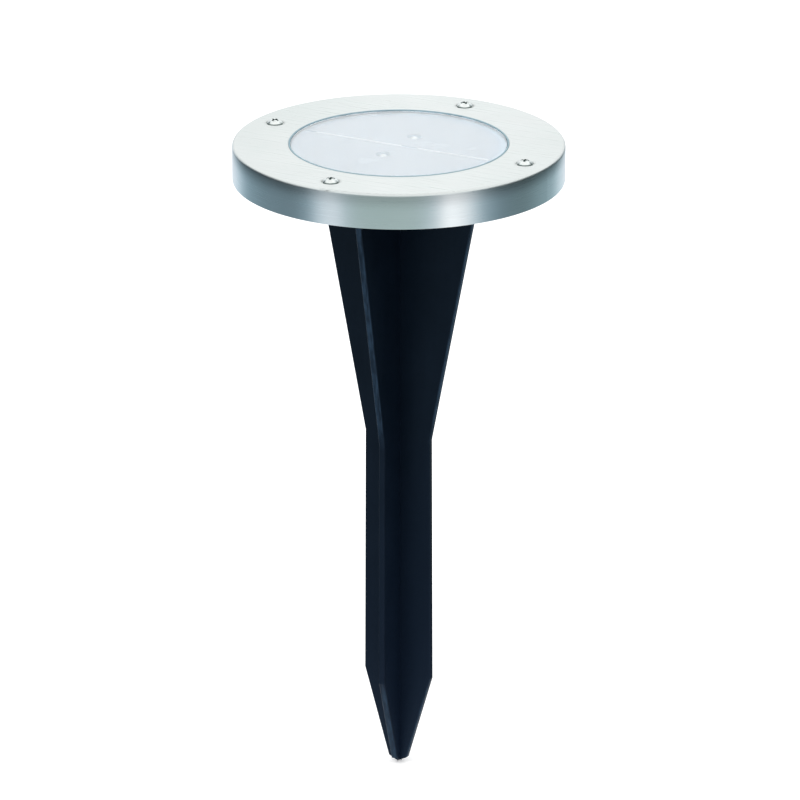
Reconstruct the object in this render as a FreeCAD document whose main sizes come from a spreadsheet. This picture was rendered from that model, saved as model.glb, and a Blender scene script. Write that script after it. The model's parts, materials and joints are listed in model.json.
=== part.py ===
"""Solar garden light: a round steel-rimmed solar head on a four-finned ground spike.

The spike stands on +Z with its tip at the origin.  Every piece of the head is drawn in a
frame of its own whose zero height is the flat top of the steel ring, and is then placed at
the total height, so heights in the head are depths below the ring, written as negatives.
"""
import FreeCAD, Part
import math
import os

import Sketcher

SIZES = [
    # whole light
    ("total_height", 240.0),
    ("head_radius", 60.0),
    ("rim_height", 13.0),
    # pressed steel ring
    ("bezel_sheet", 0.8),
    ("bezel_bend", 1.0),
    ("bezel_hole", 39.75),
    ("dimple_radius", 3.3),
    ("dimple_depth", 0.5),
    ("lip_share", 0.8),
    ("screw_circle", 51.0),
    ("screw_clearance", 1.75),
    # M3 pan head screws and their brass inserts
    ("screw_shank", 1.45),
    ("screw_head", 2.8),
    ("screw_head_height", 1.9),
    ("screw_length", 7.0),
    ("dome_share", 0.7),
    ("stem_share", 0.1),
    ("recess_width", 0.8),
    ("recess_length", 3.0),
    ("recess_depth", 0.8),
    ("recess_low_share", 1.1),
    ("recess_high_share", 0.75),
    ("insert_radius", 2.2),
    ("insert_length", 5.0),
    ("insert_drop", 0.2),
    ("thread_gap", 0.05),
    # small self-tapping screws inside the head
    ("small_shank", 0.75),
    ("small_head", 1.7),
    ("small_head_height", 1.0),
    ("small_length", 4.0),
    # window and its gasket
    ("window_radius", 39.1),
    ("window_top", 0.15),
    ("window_step", 1.4),
    ("window_flange", 43.6),
    ("window_bottom", 2.6),
    ("gasket_gap", 0.05),
    ("gasket_rise", 0.2),
    # moulded housing
    ("housing_radius", 58.6),
    ("wall", 2.2),
    ("seam", 1.75),
    ("hub_radius", 38.0),
    ("hub_depth", 20.6),
    ("hub_edge", 2.5),
    ("hub_floor", 1.7),
    ("seat_outer", 44.4),
    ("seat_inner", 41.9),
    ("ledge_inner", 39.6),
    ("boss_radius", 3.7),
    ("mouth_spare", 0.3),
    ("pilot_spare", 0.8),
    ("seal_gap", 0.2),
    ("post_radius", 2.2),
    ("post_inset", 3.0),
    ("pin_radius", 0.9),
    ("pin_inset", 2.0),
    ("stop_half", 0.6),
    ("stop_gap", 0.25),
    ("stop_height", 8.0),
    ("notch_half", 2.6),
    ("notch_height", 2.2),
    ("press_gap", 0.02),
    ("hole_gap", 0.15),
    ("overlap", 0.4),
    ("past", 1.0),
    # spike socket
    ("peg_radius", 6.0),
    ("peg_fit", 0.3),
    ("peg_top", 10.6),
    ("peg_chamfer", 0.8),
    ("key_width", 2.0),
    ("key_reach", 7.2),
    ("key_root", 2.0),
    ("key_drop", 1.0),
    ("keyway_gap", 0.2),
    ("socket_roof", 10.2),
    ("socket_outer", 9.0),
    # solar panel
    ("panel_radius", 41.6),
    ("panel_top", 3.0),
    ("panel_bottom", 4.8),
    ("cell_radius", 41.0),
    ("cell_rise", 0.2),
    ("cell_gap", 1.0),
    ("cell_margin", 0.25),
    ("ribbon_width", 0.9),
    ("ribbon_rise", 0.25),
    ("ribbon_west", 33.9),
    ("ribbon_east", 36.3),
    ("ribbon_break", 1.0),
    ("ribbon_resume", 7.6),
    # light-emitting diodes
    ("led_offset", 11.8),
    ("led_radius", 1.5),
    ("led_collar", 1.9),
    ("led_collar_height", 0.7),
    ("led_top", 2.75),
    ("led_window", 2.6),
    ("lead_pitch", 2.54),
    ("lead_radius", 0.25),
    ("lead_length", 0.6),
    # circuit boards
    ("led_board_top", 7.2),
    ("led_board_bottom", 8.2),
    ("led_board_half_x", 7.0),
    ("led_board_half_y", 15.0),
    ("board_top", 10.0),
    ("board_bottom", 11.2),
    ("board_half_x", 17.0),
    ("board_near", 11.5),
    ("board_far", 27.5),
    ("board_pin_radius", 0.32),
    ("board_pin_along", 13.4),
    # controller chip and inductor under the control board
    ("chip_west", 8.5),
    ("chip_south", 22.0),
    ("chip_width", 4.0),
    ("chip_length", 5.0),
    ("chip_height", 1.6),
    ("leg_reach", 1.0),
    ("leg_pitch", 1.27),
    ("leg_width", 0.45),
    ("leg_sheet", 0.4),
    ("coil_across", 6.0),
    ("coil_along", 19.0),
    ("core_radius", 2.6),
    ("core_waist", 1.2),
    ("core_length", 5.0),
    ("core_flange", 0.8),
    ("coil_radius", 2.3),
    # battery and its contacts
    ("battery_radius", 5.25),
    ("battery_sleeve", 0.2),
    ("battery_length", 44.5),
    ("battery_left", 21.0),
    ("battery_across", 16.5),
    ("battery_depth", 13.5),
    ("can_gap", 0.03),
    ("button_radius", 1.8),
    ("button_height", 0.9),
    ("button_root", 0.5),
    ("sleeve_west", 0.4),
    ("sleeve_east", 1.3),
    ("contact_sheet", 0.4),
    ("contact_half", 4.0),
    ("contact_rise", 4.0),
    ("tab_reach", 1.6),
    ("tab_half", 1.0),
    ("spring_length", 3.5),
    ("spring_radius", 3.3),
    ("spring_wire", 0.5),
    ("spring_pitch", 1.15),
    # battery door
    ("door_left", 26.5),
    ("door_right", 25.2),
    ("door_half_y", 6.8),
    ("door_sheet", 1.0),
    ("door_corner", 2.5),
    ("door_slack", 0.15),
    ("hatch_left", 21.3),
    ("hatch_right", 23.9),
    ("hatch_half_y", 5.5),
    ("door_screw_across", 24.5),
    ("door_screw_along", 11.6),
    ("door_screw_drop", 0.05),
    ("door_screw_tail", 1.4),
    ("sink_share", 0.6),
    ("sink_gap", 0.1),
    ("slot_half_length", 1.2),
    ("slot_half_width", 0.25),
    ("slot_depth", 0.3),
    # slide switch under the rim
    ("switch_reach", 50.3),
    ("switch_half_length", 6.0),
    ("switch_half_width", 2.9),
    ("switch_top", 6.4),
    ("knob_half_length", 1.5),
    ("knob_half_width", 1.1),
    ("knob_drop", 14.4),
    ("knob_travel", 3.0),
    ("slot_gap", 0.4),
    ("foot_reach", 0.9),
    ("foot_overhang", 0.5),
    ("foot_low", 0.3),
    ("foot_high", 2.0),
    ("foot_gap", 0.4),
    # ground spike
    ("plate_radius", 31.6),
    ("plate_top", 20.8),
    ("plate_sheet", 1.6),
    ("fin_sheet", 2.3),
    ("fin_edge", 0.45),
    ("flare_radius", 31.35),
    ("waist_radius", 13.3),
    ("waist_height", 128.4),
    ("shoulder_radius", 13.7),
    ("shoulder_height", 35.0),
    ("tip_radius", 3.75),
    ("tip_height", 1.8),
]
QUARTER_TURNS = (0, 90, 180, 270)
SWITCH_BEARING = -45.0
SPRING_TAPER = -12.0
SPRING_TURNS_PER_FACE = 0.25
SHORTEST_FIN_EDGE = 4.0
SCREW_TURN = 18.0
SCREW_TURN_STEP = 31.0

# Soldering pads and turning points of the wires: (across, along) from the axis, or reach.
BATTERY_PAD = (13.5, -14.0)
BATTERY_TURN = (18.5, -8.0)
BATTERY_RUN_END = 2.0
BATTERY_WIRE_DIP = 0.8
BATTERY_WIRE_RISE = 0.6
PANEL_PAD = (9.0, -17.0)
PANEL_FOOT = (11.0, -20.0)
PANEL_WIRE_DROP = 1.6
SWITCH_PAD_REACH = 21.5
SWITCH_RISE_REACH = 25.0
SWITCH_NOTCH_REACH = 34.0
SWITCH_WIRE_SIDE = 1.2
SWITCH_WIRE_LOW = 0.35

# Sketched outlines start as a rough ring that their constraints then pull into shape.
ROUGH_RADIUS = 9.0
ROUGH_TURN = 0.3
ROUGH_CIRCLE = 2.0
ORIGIN = -1
HORIZONTAL = -1
VERTICAL = -2

doc = FreeCAD.newDocument("SolarGardenLight")
sheet = doc.addObject("Spreadsheet::Sheet", "Size")
for row, (alias, value) in enumerate(SIZES, start=1):
    sheet.set("A%d" % row, alias)
    sheet.set("B%d" % row, str(value))
    sheet.setAlias("B%d" % row, alias)
doc.recompute()
nodes = []


# ---------------------------------------------------------------- shared helpers

def keep(item, label, height="Size.total_height"):
    """Name a finished piece and lift it to its place in the light."""
    item.Label = label
    if height != "0":
        item.setExpression("Placement.Base.z", height)
    nodes.append(item)
    return item


def bind(item, **expressions):
    """Bind properties of an object to expressions on the size sheet."""
    for name, expression in expressions.items():
        item.setExpression(name, expression)


def set_place(item, across="0", along="0", up="0"):
    """Bind the position of a helper solid."""
    item.setExpression("Placement.Base.x", across)
    item.setExpression("Placement.Base.y", along)
    item.setExpression("Placement.Base.z", up)


def cylinder(name, radius, low, high, across="0", along="0"):
    """An upright cylinder between two heights."""
    item = doc.addObject("Part::Cylinder", name)
    bind(item, Radius=radius, Height="(%s) - (%s)" % (high, low))
    set_place(item, across, along, low)
    return item


def cone(name, radius_low, radius_high, low, high, across="0", along="0"):
    """An upright cone between two heights."""
    item = doc.addObject("Part::Cone", name)
    bind(item, Radius1=radius_low, Radius2=radius_high, Height="(%s) - (%s)" % (high, low))
    set_place(item, across, along, low)
    return item


def ball(name, radius, up, along="0"):
    """A sphere centred above or below the origin."""
    item = doc.addObject("Part::Sphere", name)
    bind(item, Radius=radius)
    set_place(item, "0", along, up)
    return item


def box(name, spans):
    """A box from three (low, high) pairs of expressions."""
    item = doc.addObject("Part::Box", name)
    sides = ["(%s) - (%s)" % (high, low) for low, high in spans]
    bind(item, Length=sides[0], Width=sides[1], Height=sides[2])
    set_place(item, spans[0][0], spans[1][0], spans[2][0])
    return item


def cut(name, base, tool):
    """The base with the tool taken away."""
    item = doc.addObject("Part::Cut", name)
    item.Base = base
    item.Tool = tool
    return item


def fuse(name, shapes):
    """Several touching solids joined into one."""
    item = doc.addObject("Part::MultiFuse", name)
    item.Shapes = shapes
    item.Refine = True
    return item


def group(name, shapes):
    """Several separate solids kept together as one node."""
    item = doc.addObject("Part::Compound", name)
    item.Links = shapes
    return item


def new_body(name):
    """An empty PartDesign body."""
    return doc.addObject("PartDesign::Body", name)


def new_sketch(body, name, role="XY_Plane", offset="0"):
    """A sketch on one of the body's own origin planes, moved along the plane's normal."""
    plane = next(item for item in body.Origin.OriginFeatures if item.Role == role)
    sketch = body.newObject("Sketcher::SketchObject", name)
    sketch.AttachmentSupport = (plane, [""])
    sketch.MapMode = "FlatFace"
    if offset != "0":
        sketch.setExpression("AttachmentOffset.Base.z", offset)
    return sketch


def hold(sketch, line, end, kind, start, expression):
    """Fix one coordinate of a point to an expression, or to an axis when it is zero."""
    if expression == "0":
        axis = VERTICAL if kind == "DistanceX" else HORIZONTAL
        sketch.addConstraint(Sketcher.Constraint("PointOnObject", line, end, axis))
        return
    index = sketch.addConstraint(Sketcher.Constraint(kind, ORIGIN, 1, line, end, start))
    sketch.setExpression("Constraints[%d]" % index, expression)


def outline(sketch, corners):
    """Close a polygon whose corners are (across, up) pairs of expressions."""
    count = len(corners)
    turn = 2 * math.pi / count
    angles = [turn * i + ROUGH_TURN for i in range(count)]
    ring = [FreeCAD.Vector(math.cos(angle), math.sin(angle), 0) * ROUGH_RADIUS for angle in angles]
    first = sketch.GeometryCount
    for i in range(count):
        sketch.addGeometry(Part.LineSegment(ring[i], ring[(i + 1) % count]), False)
    for i in range(count):
        after = first + (i + 1) % count
        sketch.addConstraint(Sketcher.Constraint("Coincident", first + i, 2, after, 1))
    for i, (across, up) in enumerate(corners):
        hold(sketch, first + i, 1, "DistanceX", ring[i].x, across)
        hold(sketch, first + i, 1, "DistanceY", ring[i].y, up)


def circle(sketch, radius, across="0", up="0"):
    """A circle with its radius and centre bound to expressions."""
    rough = Part.Circle(FreeCAD.Vector(1, 1, 0), FreeCAD.Vector(0, 0, 1), ROUGH_CIRCLE)
    index = sketch.addGeometry(rough)
    size = sketch.addConstraint(Sketcher.Constraint("Radius", index, ROUGH_CIRCLE))
    sketch.setExpression("Constraints[%d]" % size, radius)
    hold(sketch, index, 3, "DistanceX", 1, across)
    hold(sketch, index, 3, "DistanceY", 1, up)


def rectangle(sketch, half_across, half_up, across="0", up="0"):
    """A rectangle given by its half sizes and its centre."""
    west = "(%s) - (%s)" % (across, half_across)
    east = "(%s) + (%s)" % (across, half_across)
    south = "(%s) - (%s)" % (up, half_up)
    north = "(%s) + (%s)" % (up, half_up)
    outline(sketch, [(west, south), (east, south), (east, north), (west, north)])


def revolve(body, name, corners):
    """Spin an outline of (radius, height) corners about the body's upright axis."""
    sketch = new_sketch(body, name + "Outline", "XZ_Plane")
    outline(sketch, corners)
    spun = body.newObject("PartDesign::Revolution", name)
    spun.Profile = sketch
    spun.ReferenceAxis = (sketch, ["V_Axis"])
    spun.Angle = 360
    return spun


def pad(body, name, sketch, length):
    """Raise a sketch along its normal."""
    raised = body.newObject("PartDesign::Pad", name)
    raised.Profile = sketch
    raised.setExpression("Length", length)
    return raised


def pocket(body, name, sketch, length, upward=False):
    """Sink a sketch into the body, downward unless told otherwise."""
    sunk = body.newObject("PartDesign::Pocket", name)
    sunk.Profile = sketch
    sunk.setExpression("Length", length)
    sunk.Reversed = upward
    return sunk


def quarter_pattern(body, name, features):
    """Repeat features at four quarter turns about the upright axis."""
    axis = next(item for item in body.Origin.OriginFeatures if item.Role == "Z_Axis")
    pattern = body.newObject("PartDesign::PolarPattern", name)
    pattern.Originals = features
    pattern.Axis = (axis, [""])
    pattern.Angle = 360
    pattern.Occurrences = len(QUARTER_TURNS)
    body.Tip = pattern
    return pattern


def round_edges(body, name, wanted, radius):
    """Fillet the edges of the body's last feature that the test accepts."""
    doc.recompute()
    base = body.Tip
    picked = ["Edge%d" % number for number, edge in enumerate(base.Shape.Edges, start=1)
              if wanted(edge)]
    rounded = body.newObject("PartDesign::Fillet", name)
    rounded.Base = (base, picked)
    rounded.setExpression("Radius", radius)
    return rounded


def is_ring(edge, radius, height):
    """True for a full circle of this radius at this height."""
    curve = edge.Curve
    if curve.TypeId != "Part::GeomCircle":
        return False
    return abs(curve.Radius - radius) < 0.01 and abs(curve.Center.z - height) < 0.01


# ---------------------------------------------------------------- steel ring and screws

def bezel_ring():
    """Pressed ring: flat top, rolled outer bend, short rim and four screw dimples."""
    body = new_body("BezelRing")
    skin = "Size.head_radius - Size.bezel_sheet"
    revolve(body, "BezelShell", [
        ("Size.bezel_hole", "0"),
        ("Size.head_radius", "0"),
        ("Size.head_radius", "-Size.rim_height"),
        (skin, "-Size.rim_height"),
        (skin, "-Size.bezel_sheet"),
        ("Size.bezel_hole", "-Size.bezel_sheet")])
    back = new_sketch(body, "DimpleBack", offset="-Size.dimple_depth - Size.bezel_sheet")
    circle(back, "Size.dimple_radius + Size.bezel_sheet", "Size.screw_circle")
    swelling = pad(body, "DimpleSwelling", back, "Size.dimple_depth + Size.bezel_sheet / 2")
    hollow = new_sketch(body, "DimpleHollow")
    circle(hollow, "Size.dimple_radius", "Size.screw_circle")
    dish = pocket(body, "DimpleDish", hollow, "Size.dimple_depth")
    drill = new_sketch(body, "ScrewHole")
    circle(drill, "Size.screw_clearance", "Size.screw_circle")
    hole = pocket(body, "ScrewHoles", drill, "Size.rim_height")
    quarter_pattern(body, "DimplePattern", [swelling, dish, hole])
    round_edges(body, "OuterBend", lambda edge: is_ring(edge, sheet.head_radius, 0),
                "Size.bezel_bend")
    round_edges(body, "InnerBend",
                lambda edge: is_ring(edge, sheet.head_radius - sheet.bezel_sheet,
                                     -sheet.bezel_sheet),
                "Size.bezel_bend - Size.bezel_sheet")
    round_edges(body, "DimpleLip", lambda edge: is_ring(edge, sheet.dimple_radius, 0),
                "Size.dimple_depth * Size.lip_share")
    round_edges(body, "HoleLip", lambda edge: is_ring(edge, sheet.bezel_hole, 0),
                "Size.bezel_sheet / 4")
    keep(body, "bezel_ring")


def pan_screw(name, head, head_height, shank, length, across, along, seat, turn=0.0):
    """One cross-recessed domed screw whose head sits on the given height."""
    top = "Size.%s" % head_height
    dome = "(%s * Size.dome_share)" % top
    curve = "(Size.%s ^ 2 + %s ^ 2) / (2 * %s)" % (head, dome, dome)
    crown = doc.addObject("Part::Common", name + "Crown")
    crown.Base = cylinder(name + "Disc", "Size.%s" % head, "0", top)
    crown.Tool = ball(name + "Ball", curve, "%s - %s" % (top, curve))
    stem = cylinder(name + "Stem", "Size.%s" % shank, "-Size.%s" % length,
                    "%s * Size.stem_share" % top)
    solid = fuse(name + "Solid", [crown, stem])
    reach = "Size.recess_length * Size.%s / Size.screw_head / 2" % head
    half = "Size.recess_width * Size.%s / Size.screw_head / 2" % head
    depth = "%s - Size.recess_depth * Size.%s / Size.screw_head" % (top, head)
    above = top + " + Size.past"
    slots = [
        box(name + "SlotA", [("-%s" % reach, reach), ("-%s" % half, half), (depth, above)]),
        box(name + "SlotB", [("-%s" % half, half), ("-%s" % reach, reach), (depth, above)]),
        cone(name + "SlotC", "%s * Size.recess_low_share" % half,
             "%s * Size.recess_high_share" % reach, depth, top)]
    cross = fuse(name + "Cross", slots)
    screw = cut(name, solid, cross)
    screw.Placement.Rotation = FreeCAD.Rotation(FreeCAD.Vector(0, 0, 1), turn)
    set_place(screw, across, along, seat)
    return screw


def on_circle(angle):
    """Across and along expressions of a point on the screw circle."""
    return ("Size.screw_circle * cos(%d deg)" % angle, "Size.screw_circle * sin(%d deg)" % angle)


def bezel_screws():
    """Four M3 pan head screws, each in its dimple, turned as they were tightened."""
    screws = []
    for number, angle in enumerate(QUARTER_TURNS):
        across, along = on_circle(angle)
        screws.append(pan_screw("BezelScrew%d" % number, "screw_head", "screw_head_height",
                                "screw_shank", "screw_length", across, along,
                                "-Size.dimple_depth",
                                turn=SCREW_TURN + SCREW_TURN_STEP * number))
    keep(group("BezelScrews", screws), "bezel_screws")


def threaded_inserts():
    """Four brass sleeves pressed into the housing's screw bosses."""
    sleeves = []
    for number, angle in enumerate(QUARTER_TURNS):
        across, along = on_circle(angle)
        high = "-Size.dimple_depth - Size.bezel_sheet - Size.insert_drop"
        low = high + " - Size.insert_length"
        outer = cylinder("InsertOuter%d" % number, "Size.insert_radius", low, high, across, along)
        inner = cylinder("InsertInner%d" % number, "Size.screw_shank + Size.thread_gap",
                         low + " - Size.past", high + " + Size.past", across, along)
        sleeves.append(cut("Insert%d" % number, outer, inner))
    keep(group("ThreadedInserts", sleeves), "threaded_inserts")


# ---------------------------------------------------------------- window

def window_lens():
    """Clear window: a disc flush with the ring and a flange held under it."""
    body = new_body("WindowLens")
    revolve(body, "LensSolid", [
        ("0", "-Size.window_top"),
        ("Size.window_radius", "-Size.window_top"),
        ("Size.window_radius", "-Size.window_step"),
        ("Size.window_flange", "-Size.window_step"),
        ("Size.window_flange", "-Size.window_bottom"),
        ("0", "-Size.window_bottom")])
    round_edges(body, "LensEdge",
                lambda edge: is_ring(edge, sheet.window_radius, -sheet.window_top),
                "Size.window_top")
    keep(body, "window_lens")


def window_gasket():
    """Rubber ring with a low bead round the window and a lip that seals its flange."""
    body = new_body("WindowGasket")
    inner = "Size.window_radius + Size.gasket_gap"
    outer = "Size.bezel_hole - Size.gasket_gap"
    revolve(body, "GasketSolid", [
        (inner, "Size.gasket_rise"),
        (outer, "Size.gasket_rise"),
        (outer, "-Size.bezel_sheet"),
        ("Size.window_flange", "-Size.bezel_sheet"),
        ("Size.window_flange", "-Size.window_step"),
        (inner, "-Size.window_step")])
    bead = (sheet.window_radius + sheet.gasket_gap, sheet.bezel_hole - sheet.gasket_gap)
    round_edges(body, "GasketBead",
                lambda edge: any(is_ring(edge, radius, sheet.gasket_rise) for radius in bead),
                "Size.gasket_rise")
    keep(body, "window_gasket")


# ---------------------------------------------------------------- housing

def housing():
    """Moulded pan: wall, floor, battery hub, spike socket, window seat, bosses and posts."""
    body = new_body("Housing")
    rise = "-Size.rim_height + Size.wall"
    hub_in = "Size.hub_radius - Size.wall"
    floor = "-Size.hub_depth + Size.hub_floor"
    bore = "Size.peg_radius + Size.peg_fit"
    revolve(body, "PanShell", [
        ("Size.housing_radius", "-Size.seam"),
        ("Size.housing_radius", "-Size.rim_height"),
        ("Size.hub_radius", "-Size.rim_height"),
        ("Size.hub_radius", "-Size.hub_depth + Size.hub_edge"),
        ("Size.hub_radius - Size.hub_edge", "-Size.hub_depth"),
        (bore, "-Size.hub_depth"),
        (bore, "-Size.socket_roof"),
        ("0", "-Size.socket_roof"),
        ("0", "-Size.led_board_bottom - Size.gasket_gap"),
        ("Size.socket_outer", "-Size.led_board_bottom - Size.gasket_gap"),
        ("Size.socket_outer", floor),
        (hub_in, floor),
        (hub_in, rise),
        ("Size.housing_radius - Size.wall", rise),
        ("Size.housing_radius - Size.wall", "-Size.seam")])
    revolve(body, "WindowSeat", [
        ("Size.ledge_inner", rise + " - Size.overlap"),
        ("Size.seat_outer", rise + " - Size.overlap"),
        ("Size.seat_outer", "-Size.window_bottom - Size.gasket_gap"),
        ("Size.seat_inner", "-Size.window_bottom - Size.gasket_gap"),
        ("Size.seat_inner", "-Size.panel_bottom"),
        ("Size.ledge_inner", "-Size.panel_bottom")])
    boss_foot = new_sketch(body, "BossFoot", offset=rise + " - Size.overlap")
    circle(boss_foot, "Size.boss_radius", "Size.screw_circle")
    boss_high = "-Size.dimple_depth - Size.bezel_sheet"
    boss = pad(body, "Boss", boss_foot, "(%s) - (%s - Size.overlap)" % (boss_high, rise))
    boss_mouth = new_sketch(body, "BossMouth", offset=boss_high)
    circle(boss_mouth, "Size.insert_radius + Size.press_gap", "Size.screw_circle")
    mouth = pocket(body, "BossHole", boss_mouth, "Size.insert_length + Size.mouth_spare")
    pilot_mouth = new_sketch(body, "PilotMouth", offset=boss_high)
    circle(pilot_mouth, "Size.screw_clearance", "Size.screw_circle")
    pilot = pocket(body, "PilotHole", pilot_mouth, "Size.screw_length + Size.pilot_spare")
    quarter_pattern(body, "BossPattern", [boss, mouth, pilot])

    keyway = new_sketch(body, "Keyway", offset="-Size.hub_depth")
    rectangle(keyway, "(Size.key_reach + Size.peg_fit) / 2", "Size.key_width / 2 + Size.keyway_gap",
              "-(Size.key_reach + Size.peg_fit) / 2")
    pocket(body, "SocketKeyway", keyway, "Size.hub_depth - Size.socket_roof", upward=True)

    recess = new_sketch(body, "DoorRecess", offset="-Size.hub_depth")
    battery_rectangle(recess, "-Size.door_left - Size.door_slack",
                      "Size.door_right + Size.door_slack", "Size.door_half_y + Size.door_slack")
    pocket(body, "DoorSeat", recess, "Size.door_sheet", upward=True)
    hatch = new_sketch(body, "HatchOutline", offset="-Size.hub_depth")
    battery_rectangle(hatch, "-Size.hatch_left", "Size.hatch_right", "Size.hatch_half_y")
    pocket(body, "BatteryHatch", hatch, "Size.hub_floor + Size.overlap", upward=True)
    door_pilot = new_sketch(body, "DoorPilot", offset="-Size.hub_depth")
    circle(door_pilot, "Size.small_shank + Size.press_gap", "-Size.door_screw_across",
           "Size.door_screw_along")
    pocket(body, "DoorPilotHole", door_pilot, "Size.hub_floor + Size.overlap", upward=True)

    posts = new_sketch(body, "BoardPosts", offset=floor + " - Size.overlap")
    for side in ("", "-"):
        circle(posts, "Size.post_radius", *board_corner(side))
    pad(body, "BoardPostSolids", posts, "(-Size.board_bottom) - (%s - Size.overlap)" % floor)
    post_pilots = new_sketch(body, "PostPilots", offset="-Size.board_bottom")
    for side in ("", "-"):
        circle(post_pilots, "Size.small_shank + Size.press_gap", *board_corner(side))
    pocket(body, "PostPilotHoles", post_pilots, "Size.small_length")
    pins = new_sketch(body, "LedBoardPins", offset="-Size.led_board_bottom - Size.overlap")
    for side in ("", "-"):
        circle(pins, "Size.pin_radius", "%s(Size.led_board_half_x - Size.pin_inset)" % side)
    pad(body, "LedBoardPinSolids", pins,
        "Size.led_board_bottom - Size.led_board_top + 2 * Size.overlap")

    stops = new_sketch(body, "ContactStops", offset=floor + " - Size.overlap")
    rectangle(stops, "Size.stop_half", "Size.contact_half",
              "Size.battery_length - Size.battery_left + Size.contact_sheet"
              " + Size.stop_half + Size.stop_gap", "Size.battery_across")
    rectangle(stops, "Size.stop_half", "Size.contact_half - Size.overlap",
              "-Size.battery_left - Size.spring_length - Size.contact_sheet"
              " - Size.stop_half - Size.stop_gap", "Size.battery_across")
    pad(body, "ContactStopSolids", stops, "Size.stop_height")

    slot = new_sketch(body, "KnobSlot", offset="-Size.rim_height")
    slot.AttachmentOffset.Rotation = FreeCAD.Rotation(FreeCAD.Vector(0, 0, 1), SWITCH_BEARING)
    rectangle(slot, "Size.knob_half_width + Size.slot_gap",
              "Size.knob_half_length + Size.knob_travel / 2 + Size.slot_gap", "Size.switch_reach")
    pocket(body, "KnobSlotCut", slot, "Size.wall + Size.overlap", upward=True)
    notch = new_sketch(body, "WireNotch", offset=rise)
    notch.AttachmentOffset.Rotation = FreeCAD.Rotation(FreeCAD.Vector(0, 0, 1), SWITCH_BEARING)
    rectangle(notch, "(Size.seat_outer - Size.ledge_inner) / 2 + Size.past", "Size.notch_half",
              "(Size.seat_outer + Size.ledge_inner) / 2")
    pocket(body, "WireNotchCut", notch, "Size.notch_height", upward=True)
    keep(body, "housing")


def board_corner(side):
    """Across and along expressions of a screw in one front corner of the control board."""
    return ("%s(Size.board_half_x - Size.post_inset)" % side,
            "-Size.board_far + Size.post_inset")


def battery_rectangle(sketch, west, east, half_along):
    """A rectangle centred along the battery's axis."""
    south = "Size.battery_across - (%s)" % half_along
    north = "Size.battery_across + (%s)" % half_along
    outline(sketch, [(west, south), (east, south), (east, north), (west, north)])


def rim_seal():
    """Foam ring between the housing wall and the steel ring."""
    outer = cylinder("SealOuter", "Size.housing_radius - Size.seal_gap", "-Size.seam",
                     "-Size.bezel_sheet")
    inner = cylinder("SealInner", "Size.housing_radius - Size.wall + Size.seal_gap",
                     "-Size.seam - Size.past", "0")
    keep(cut("RimSeal", outer, inner), "rim_seal")


# ---------------------------------------------------------------- solar panel and lamps

def led_holes(name, radius, low, high):
    """Two upright cylinders where the lamps come through the panel."""
    return fuse(name, [
        cylinder(name + "Front", radius, low, high, along="-Size.led_offset"),
        cylinder(name + "Rear", radius, low, high, along="Size.led_offset")])


def solar_board():
    """Round laminated board under the cells, with a hole for each lamp."""
    disc = cylinder("PanelDisc", "Size.panel_radius", "-Size.panel_bottom", "-Size.panel_top")
    holes = led_holes("PanelHoles", "Size.led_window", "-Size.panel_bottom - Size.past", "0")
    keep(cut("SolarBoard", disc, holes), "solar_board")


def solar_cell(name, label, near, far):
    """One half-moon cell on the board's face, cut away round its lamp."""
    high = "-Size.panel_top + Size.cell_rise"
    disc = cylinder(name + "Disc", "Size.cell_radius", "-Size.panel_top", high)
    half = box(name + "Half", [("-Size.head_radius", "Size.head_radius"), (near, far),
                               ("-Size.panel_bottom", "0")])
    moon = doc.addObject("Part::Common", name + "Moon")
    moon.Base = disc
    moon.Tool = half
    holes = led_holes(name + "Holes", "Size.led_window + Size.cell_margin", "-Size.panel_bottom",
                      "0")
    keep(cut(name, moon, holes), label)


def bus_ribbon(name, label, west, east):
    """A tinned ribbon lying in the gap between the two cells."""
    spans = [(west, east), ("-Size.ribbon_width / 2", "Size.ribbon_width / 2"),
             ("0", "Size.ribbon_rise")]
    keep(box(name, spans), label, "Size.total_height - Size.panel_top")


def lamp(name, label, side):
    """One small domed diode standing on the lamp board."""
    along = "%sSize.led_offset" % side
    dome_centre = "-Size.led_top - Size.led_radius"
    barrel = cylinder(name + "Barrel", "Size.led_radius", "-Size.led_board_top", dome_centre,
                      along=along)
    collar = cylinder(name + "Collar", "Size.led_collar", "-Size.led_board_top",
                      "-Size.led_board_top + Size.led_collar_height", along=along)
    dome = ball(name + "Dome", "Size.led_radius", dome_centre, along)
    keep(fuse(name, [barrel, collar, dome]), label)


def lamp_leads():
    """The four wire legs of the two diodes, just under the lamp board."""
    pins = []
    for number, (across, along) in enumerate([("", ""), ("-", ""), ("", "-"), ("-", "-")]):
        pins.append(cylinder("Lead%d" % number, "Size.lead_radius",
                             "-Size.led_board_bottom - Size.lead_length",
                             "-Size.led_board_bottom", across + "Size.lead_pitch / 2",
                             along + "Size.led_offset"))
    keep(group("LampLeads", pins), "led_leads")


def led_board():
    """Narrow board that carries both lamps on top of the spike socket."""
    body = new_body("LedBoard")
    shape = new_sketch(body, "LedBoardOutline", offset="-Size.led_board_bottom")
    rectangle(shape, "Size.led_board_half_x", "Size.led_board_half_y")
    for side in ("", "-"):
        circle(shape, "Size.pin_radius + Size.hole_gap",
               "%s(Size.led_board_half_x - Size.pin_inset)" % side)
    pad(body, "LedBoardSolid", shape, "Size.led_board_bottom - Size.led_board_top")
    keep(body, "led_board")


# ---------------------------------------------------------------- control electronics

def control_board():
    """Charge and dusk controller board on two posts in front of the socket."""
    body = new_body("ControlBoard")
    shape = new_sketch(body, "ControlOutline", offset="-Size.board_bottom")
    rectangle(shape, "Size.board_half_x", "(Size.board_far - Size.board_near) / 2",
              up="-(Size.board_far + Size.board_near) / 2")
    for side in ("", "-"):
        circle(shape, "Size.small_shank + Size.hole_gap", *board_corner(side))
    pad(body, "ControlSolid", shape, "Size.board_bottom - Size.board_top")
    keep(body, "control_board")


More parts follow.
